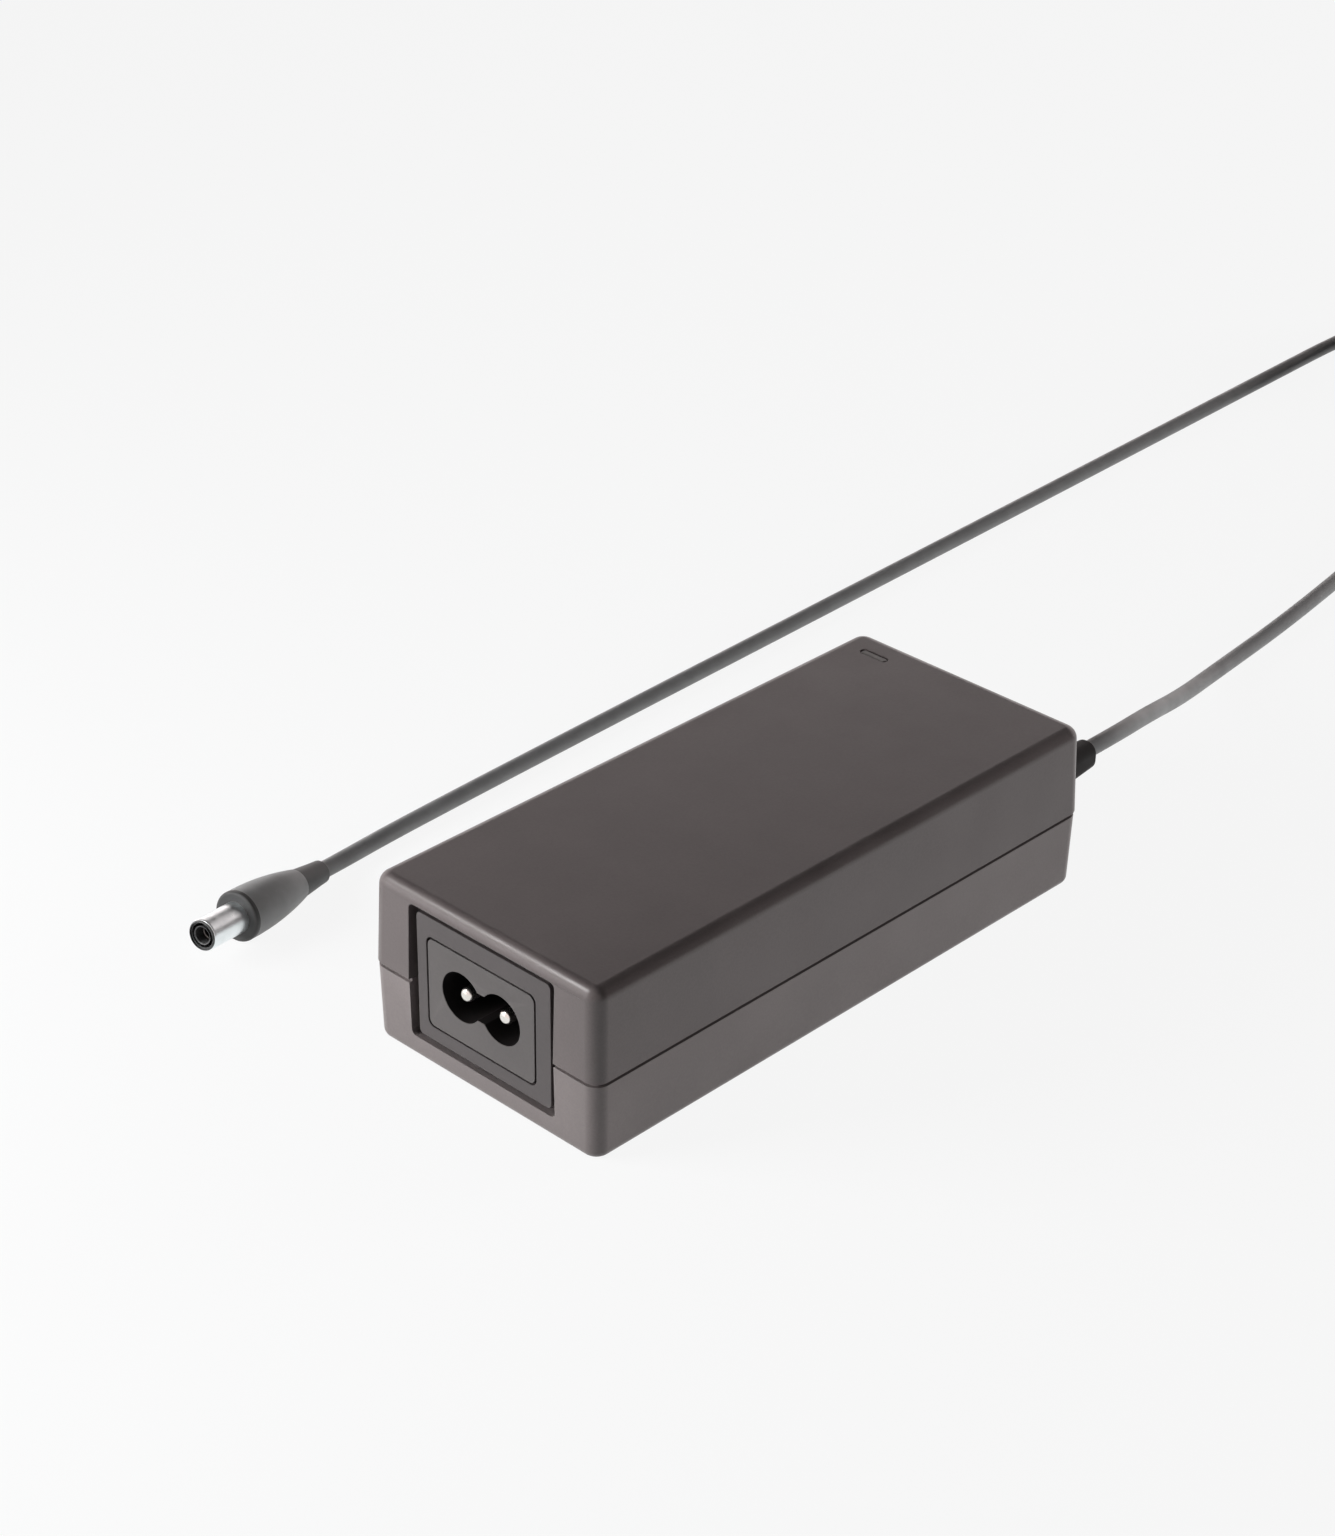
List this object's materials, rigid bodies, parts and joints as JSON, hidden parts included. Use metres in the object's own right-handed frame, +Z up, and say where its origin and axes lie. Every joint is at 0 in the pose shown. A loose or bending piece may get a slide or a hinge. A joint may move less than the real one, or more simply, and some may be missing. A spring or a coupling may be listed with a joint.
{
  "type": "battery charger",
  "caption": "Flat rectangular desktop battery charger with a figure-8 mains inlet in one end and a thin output cord with a barrel plug at the other.",
  "frame": {"origin": "middle of the case's flat base, on the table", "axes": "+X along the case towards the output cord's end, +Y towards the long side away from the viewer, +Z up"},
  "size_m": [0.3911, 0.1044, 0.0306],
  "materials": {
    "aluminium": "bare aluminium",
    "barrel_metal": "bright nickel plate",
    "board_laminate": "tan laminate",
    "can_sleeve": "dark shrink sleeve",
    "case_plastic": "fine even texture, warm dark grey",
    "contact_metal": "bright nickel plate",
    "copper_wire": "enamelled copper",
    "cord_jacket": "smooth dark grey",
    "ferrite": "dark ferrite",
    "film": "pale film",
    "inlet_plastic": "smooth dark grey",
    "insulator_black": "black",
    "led_clear": "green tinted",
    "panel_plastic": "smooth dark grey",
    "part_black": "black",
    "part_blue": "blue lacquer",
    "part_green": "green lacquer",
    "part_yellow": "yellow",
    "plug_jacket": "smooth dark grey",
    "rubber_black": "soft black",
    "steel": "plated steel",
    "window_plastic": "translucent grey",
    "wire_black": "black",
    "wire_red": "red"
  },
  "bodies": {
    "root": {"upper_shell": "case_plastic", "lower_shell": "case_plastic", "inlet_end_panel": "panel_plastic", "inlet_body": "inlet_plastic", "inlet_pin_left": "contact_metal", "inlet_pin_right": "contact_metal", "indicator_window": "window_plastic", "strain_relief": "rubber_black", "cord_from_case": "cord_jacket", "cord_coil": "cord_jacket", "cord_to_plug": "cord_jacket", "plug_overmould": "plug_jacket", "plug_barrel": "barrel_metal", "plug_insulator": "insulator_black", "plug_contact": "contact_metal", "indicator_led": "led_clear", "circuit_board": "board_laminate", "insulation_sheet": "film", "mains_fuse": "part_black", "inrush_limiter": "part_green", "filter_capacitor": "part_yellow", "choke_base": "part_black", "choke_core": "part_green", "choke_winding_left": "copper_wire", "choke_winding_right": "copper_wire", "bridge_rectifier": "part_black", "bulk_capacitor": "can_sleeve", "primary_heat_sink": "aluminium", "switching_transistor": "part_black", "transistor_screw": "steel", "output_heat_sink": "aluminium", "output_rectifier": "part_black", "rectifier_screw": "steel", "transformer_core": "ferrite", "transformer_bobbin": "part_black", "transformer_winding": "part_yellow", "safety_capacitor": "part_blue", "optocoupler": "part_black", "output_capacitor_near": "can_sleeve", "output_capacitor_far": "can_sleeve", "inductor_core": "ferrite", "inductor_winding": "copper_wire", "output_wire_near": "wire_black", "output_wire_far": "wire_red"}
  },
  "joints": []
}
